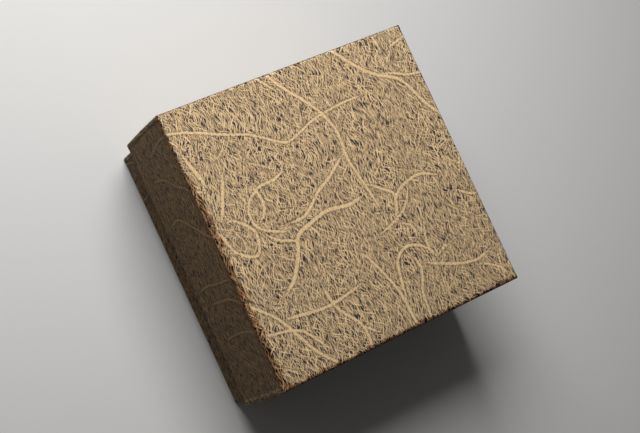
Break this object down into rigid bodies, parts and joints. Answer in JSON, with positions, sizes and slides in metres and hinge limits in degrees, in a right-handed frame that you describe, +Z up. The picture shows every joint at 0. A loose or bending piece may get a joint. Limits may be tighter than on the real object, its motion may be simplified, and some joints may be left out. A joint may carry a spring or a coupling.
{
  "type": "bracelet gift box",
  "caption": "Square paper gift box: a lift-off lid telescopes over a tray, with a soft pillow inside that a bracelet is wrapped round.",
  "frame": {"origin": "middle of the underside, at the bottom sheet's lower face", "axes": "+Z up through the lid's top, -Y to the front wall, +X to the right"},
  "size_m": [0.09, 0.09, 0.045],
  "materials": {
    "lid_paper": "black paper printed in metallic bronze, satin",
    "tray_paper": "black paper printed in metallic bronze, satin",
    "greyboard": "matt, uncoated",
    "kraft_tape": "matt kraft",
    "bottom_paper": "matt, uncoated",
    "pillow_velvet": "short-pile velvet"
  },
  "bodies": {
    "base": {"base_board": "greyboard", "base_wrap": "tray_paper", "base_bottom_sheet": "bottom_paper", "base_stay_front_left": "kraft_tape", "base_stay_front_right": "kraft_tape", "base_stay_back_left": "kraft_tape", "base_stay_back_right": "kraft_tape", "pillow": "pillow_velvet"},
    "lid": {"lid_board": "greyboard", "lid_wrap": "lid_paper", "lid_stay_front_left": "kraft_tape", "lid_stay_front_right": "kraft_tape", "lid_stay_back_left": "kraft_tape", "lid_stay_back_right": "kraft_tape"}
  },
  "joints": [
    {"name": "lid_lift", "type": "slide", "parent": "base", "child": "lid", "axis": [0, 0, 1], "range_m": [0, 0.08]}
  ]
}
